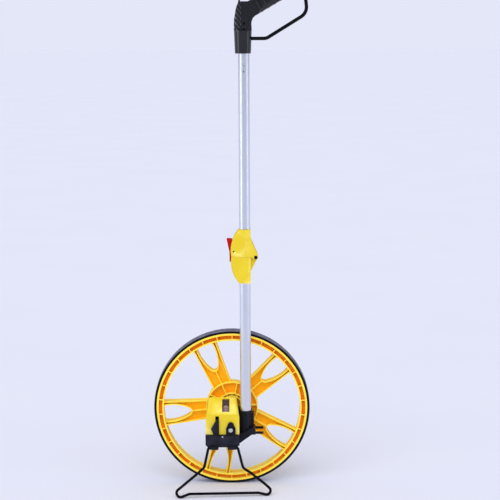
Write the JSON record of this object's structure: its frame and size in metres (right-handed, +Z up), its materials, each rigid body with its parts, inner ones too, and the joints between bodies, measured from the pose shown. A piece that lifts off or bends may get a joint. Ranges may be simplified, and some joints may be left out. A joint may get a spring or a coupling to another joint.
{
  "type": "measuring wheel",
  "caption": "Folding measuring wheel with spoked wheel, digit counter housing, hinged two-part mast, pistol grip with hand guard, and wire kickstand.",
  "frame": {"origin": "on the ground under the axle, in the wheel's middle plane", "axes": "+X along the rolling direction towards the handle, +Y along the axle away from the counter, +Z up"},
  "size_m": [0.3184, 0.1354, 1.0285],
  "materials": {
    "orange_plastic": "satin moulded",
    "yellow_plastic": "satin moulded",
    "black_plastic": "fine moulded grain",
    "red_plastic": "satin moulded",
    "white_plastic": "smooth",
    "grey_plastic": "smooth",
    "tread_rubber": "dull",
    "tube_aluminium": "satin anodised",
    "black_steel": "satin black coating",
    "guard_plastic": "satin",
    "bright_steel": "zinc plated",
    "gear_brass": "machined",
    "clear_window": "clear moulded cover"
  },
  "bodies": {
    "frame": {"bracket": "black_plastic", "axle": "bright_steel", "axle_nuts": "bright_steel", "axle_washer": "bright_steel", "bearing_spacer": "bright_steel", "counter_housing": "yellow_plastic", "counter_window": "clear_window", "counter_frame": "grey_plastic", "pinion_shaft": "bright_steel", "input_bush": "gear_brass", "housing_screws": "bright_steel", "tube_screw": "bright_steel", "tray_screw": "bright_steel", "reset_screw": "bright_steel", "reset_spring": "bright_steel", "lower_tube": "tube_aluminium", "lower_joint": "yellow_plastic", "lower_joint_rivet": "bright_steel", "hinge_pin": "black_steel"},
    "rolling_wheel": {"wheel": "orange_plastic", "tyre": "tread_rubber", "hub_bearings": "bright_steel", "hub_cap": "black_plastic", "drive_gear": "gear_brass"},
    "stand": {"kickstand": "black_steel"},
    "reset_rocker": {"reset_lever": "black_plastic"},
    "input_train": {"input_shaft": "bright_steel", "input_gear": "white_plastic", "drive_bevel_gear": "white_plastic"},
    "units_drum": {"counter_shaft": "bright_steel", "driven_bevel_gear": "white_plastic", "digit_drum_1": "black_plastic"},
    "upper_mast": {"upper_joint": "yellow_plastic", "upper_tube": "tube_aluminium", "upper_joint_rivet": "bright_steel", "spring_button": "bright_steel", "hand_guard": "guard_plastic", "grip_front_half": "black_plastic", "grip_rear_half": "black_plastic", "grip_screws": "black_steel", "handle_plug": "black_plastic", "latch_pin": "black_steel", "latch_spring": "bright_steel"},
    "latch": {"latch_lever": "red_plastic"},
    "tens_drum": {"digit_drum_2": "black_plastic"},
    "hundreds_drum": {"digit_drum_3": "black_plastic"},
    "thousands_drum": {"digit_drum_4": "black_plastic"},
    "ten_thousands_drum": {"digit_drum_5": "black_plastic"},
    "pinion_1": {"transfer_pinion_1": "white_plastic"},
    "pinion_2": {"transfer_pinion_2": "white_plastic"},
    "pinion_3": {"transfer_pinion_3": "white_plastic"},
    "pinion_4": {"transfer_pinion_4": "white_plastic"}
  },
  "joints": [
    {"name": "wheel_spin", "type": "hinge", "parent": "frame", "child": "rolling_wheel", "pos_m": [0, 0, 0.15915], "axis": [0, 1, 0], "continuous": true},
    {"name": "input_spin", "type": "hinge", "parent": "frame", "child": "input_train", "pos_m": [-0.0122, -0.022, 0.151], "axis": [0, 1, 0], "continuous": true},
    {"name": "units_spin", "type": "hinge", "parent": "frame", "child": "units_drum", "pos_m": [-0.0122, -0.04926, 0.151], "axis": [0, 0.8738, 0.4863], "continuous": true},
    {"name": "tens_spin", "type": "hinge", "parent": "frame", "child": "tens_drum", "pos_m": [-0.0122, -0.04926, 0.151], "axis": [0, 0.8738, 0.4863], "continuous": true},
    {"name": "hundreds_spin", "type": "hinge", "parent": "frame", "child": "hundreds_drum", "pos_m": [-0.0122, -0.04926, 0.151], "axis": [0, 0.8738, 0.4863], "continuous": true},
    {"name": "thousands_spin", "type": "hinge", "parent": "frame", "child": "thousands_drum", "pos_m": [-0.0122, -0.04926, 0.151], "axis": [0, 0.8738, 0.4863], "continuous": true},
    {"name": "ten_thousands_spin", "type": "hinge", "parent": "frame", "child": "ten_thousands_drum", "pos_m": [-0.0122, -0.04926, 0.151], "axis": [0, 0.8738, 0.4863], "continuous": true},
    {"name": "pinion_1_spin", "type": "hinge", "parent": "frame", "child": "pinion_1", "pos_m": [-0.0122, -0.04362, 0.14086], "axis": [0, 0.8738, 0.4863], "continuous": true},
    {"name": "pinion_2_spin", "type": "hinge", "parent": "frame", "child": "pinion_2", "pos_m": [-0.0122, -0.04362, 0.14086], "axis": [0, 0.8738, 0.4863], "continuous": true},
    {"name": "pinion_3_spin", "type": "hinge", "parent": "frame", "child": "pinion_3", "pos_m": [-0.0122, -0.04362, 0.14086], "axis": [0, 0.8738, 0.4863], "continuous": true},
    {"name": "pinion_4_spin", "type": "hinge", "parent": "frame", "child": "pinion_4", "pos_m": [-0.0122, -0.04362, 0.14086], "axis": [0, 0.8738, 0.4863], "continuous": true},
    {"name": "stand_swing", "type": "hinge", "parent": "frame", "child": "stand", "pos_m": [0, -0.0772, 0.0917], "axis": [-1, 0, 0], "range_deg": [0, 150]},
    {"name": "reset_press", "type": "hinge", "parent": "frame", "child": "reset_rocker", "pos_m": [-0.0023, -0.07, 0.1265], "axis": [0, 1, 0], "range_deg": [0, 12], "stiffness_Nm_per_rad": 0.05, "springref_deg": -17.19},
    {"name": "mast_fold", "type": "hinge", "parent": "frame", "child": "upper_mast", "pos_m": [0.05, -0.042, 0.4763], "axis": [0, 1, 0], "range_deg": [0, 180]},
    {"name": "latch_press", "type": "hinge", "parent": "upper_mast", "child": "latch", "pos_m": [0.006, -0.042, 0.488], "axis": [0, 1, 0], "range_deg": [0, 10], "stiffness_Nm_per_rad": 0.12, "springref_deg": -14.32}
  ],
  "couplings": [
    {"joint": "input_spin", "follows": "wheel_spin", "ratio": -1},
    {"joint": "units_spin", "follows": "wheel_spin", "ratio": 1},
    {"joint": "tens_spin", "follows": "wheel_spin", "ratio": 0.1},
    {"joint": "hundreds_spin", "follows": "wheel_spin", "ratio": 0.01},
    {"joint": "thousands_spin", "follows": "wheel_spin", "ratio": 0.001},
    {"joint": "ten_thousands_spin", "follows": "wheel_spin", "ratio": 0.0001},
    {"joint": "pinion_1_spin", "follows": "wheel_spin", "ratio": -0.25},
    {"joint": "pinion_2_spin", "follows": "wheel_spin", "ratio": -0.025},
    {"joint": "pinion_3_spin", "follows": "wheel_spin", "ratio": -0.0025},
    {"joint": "pinion_4_spin", "follows": "wheel_spin", "ratio": -0.00025}
  ]
}
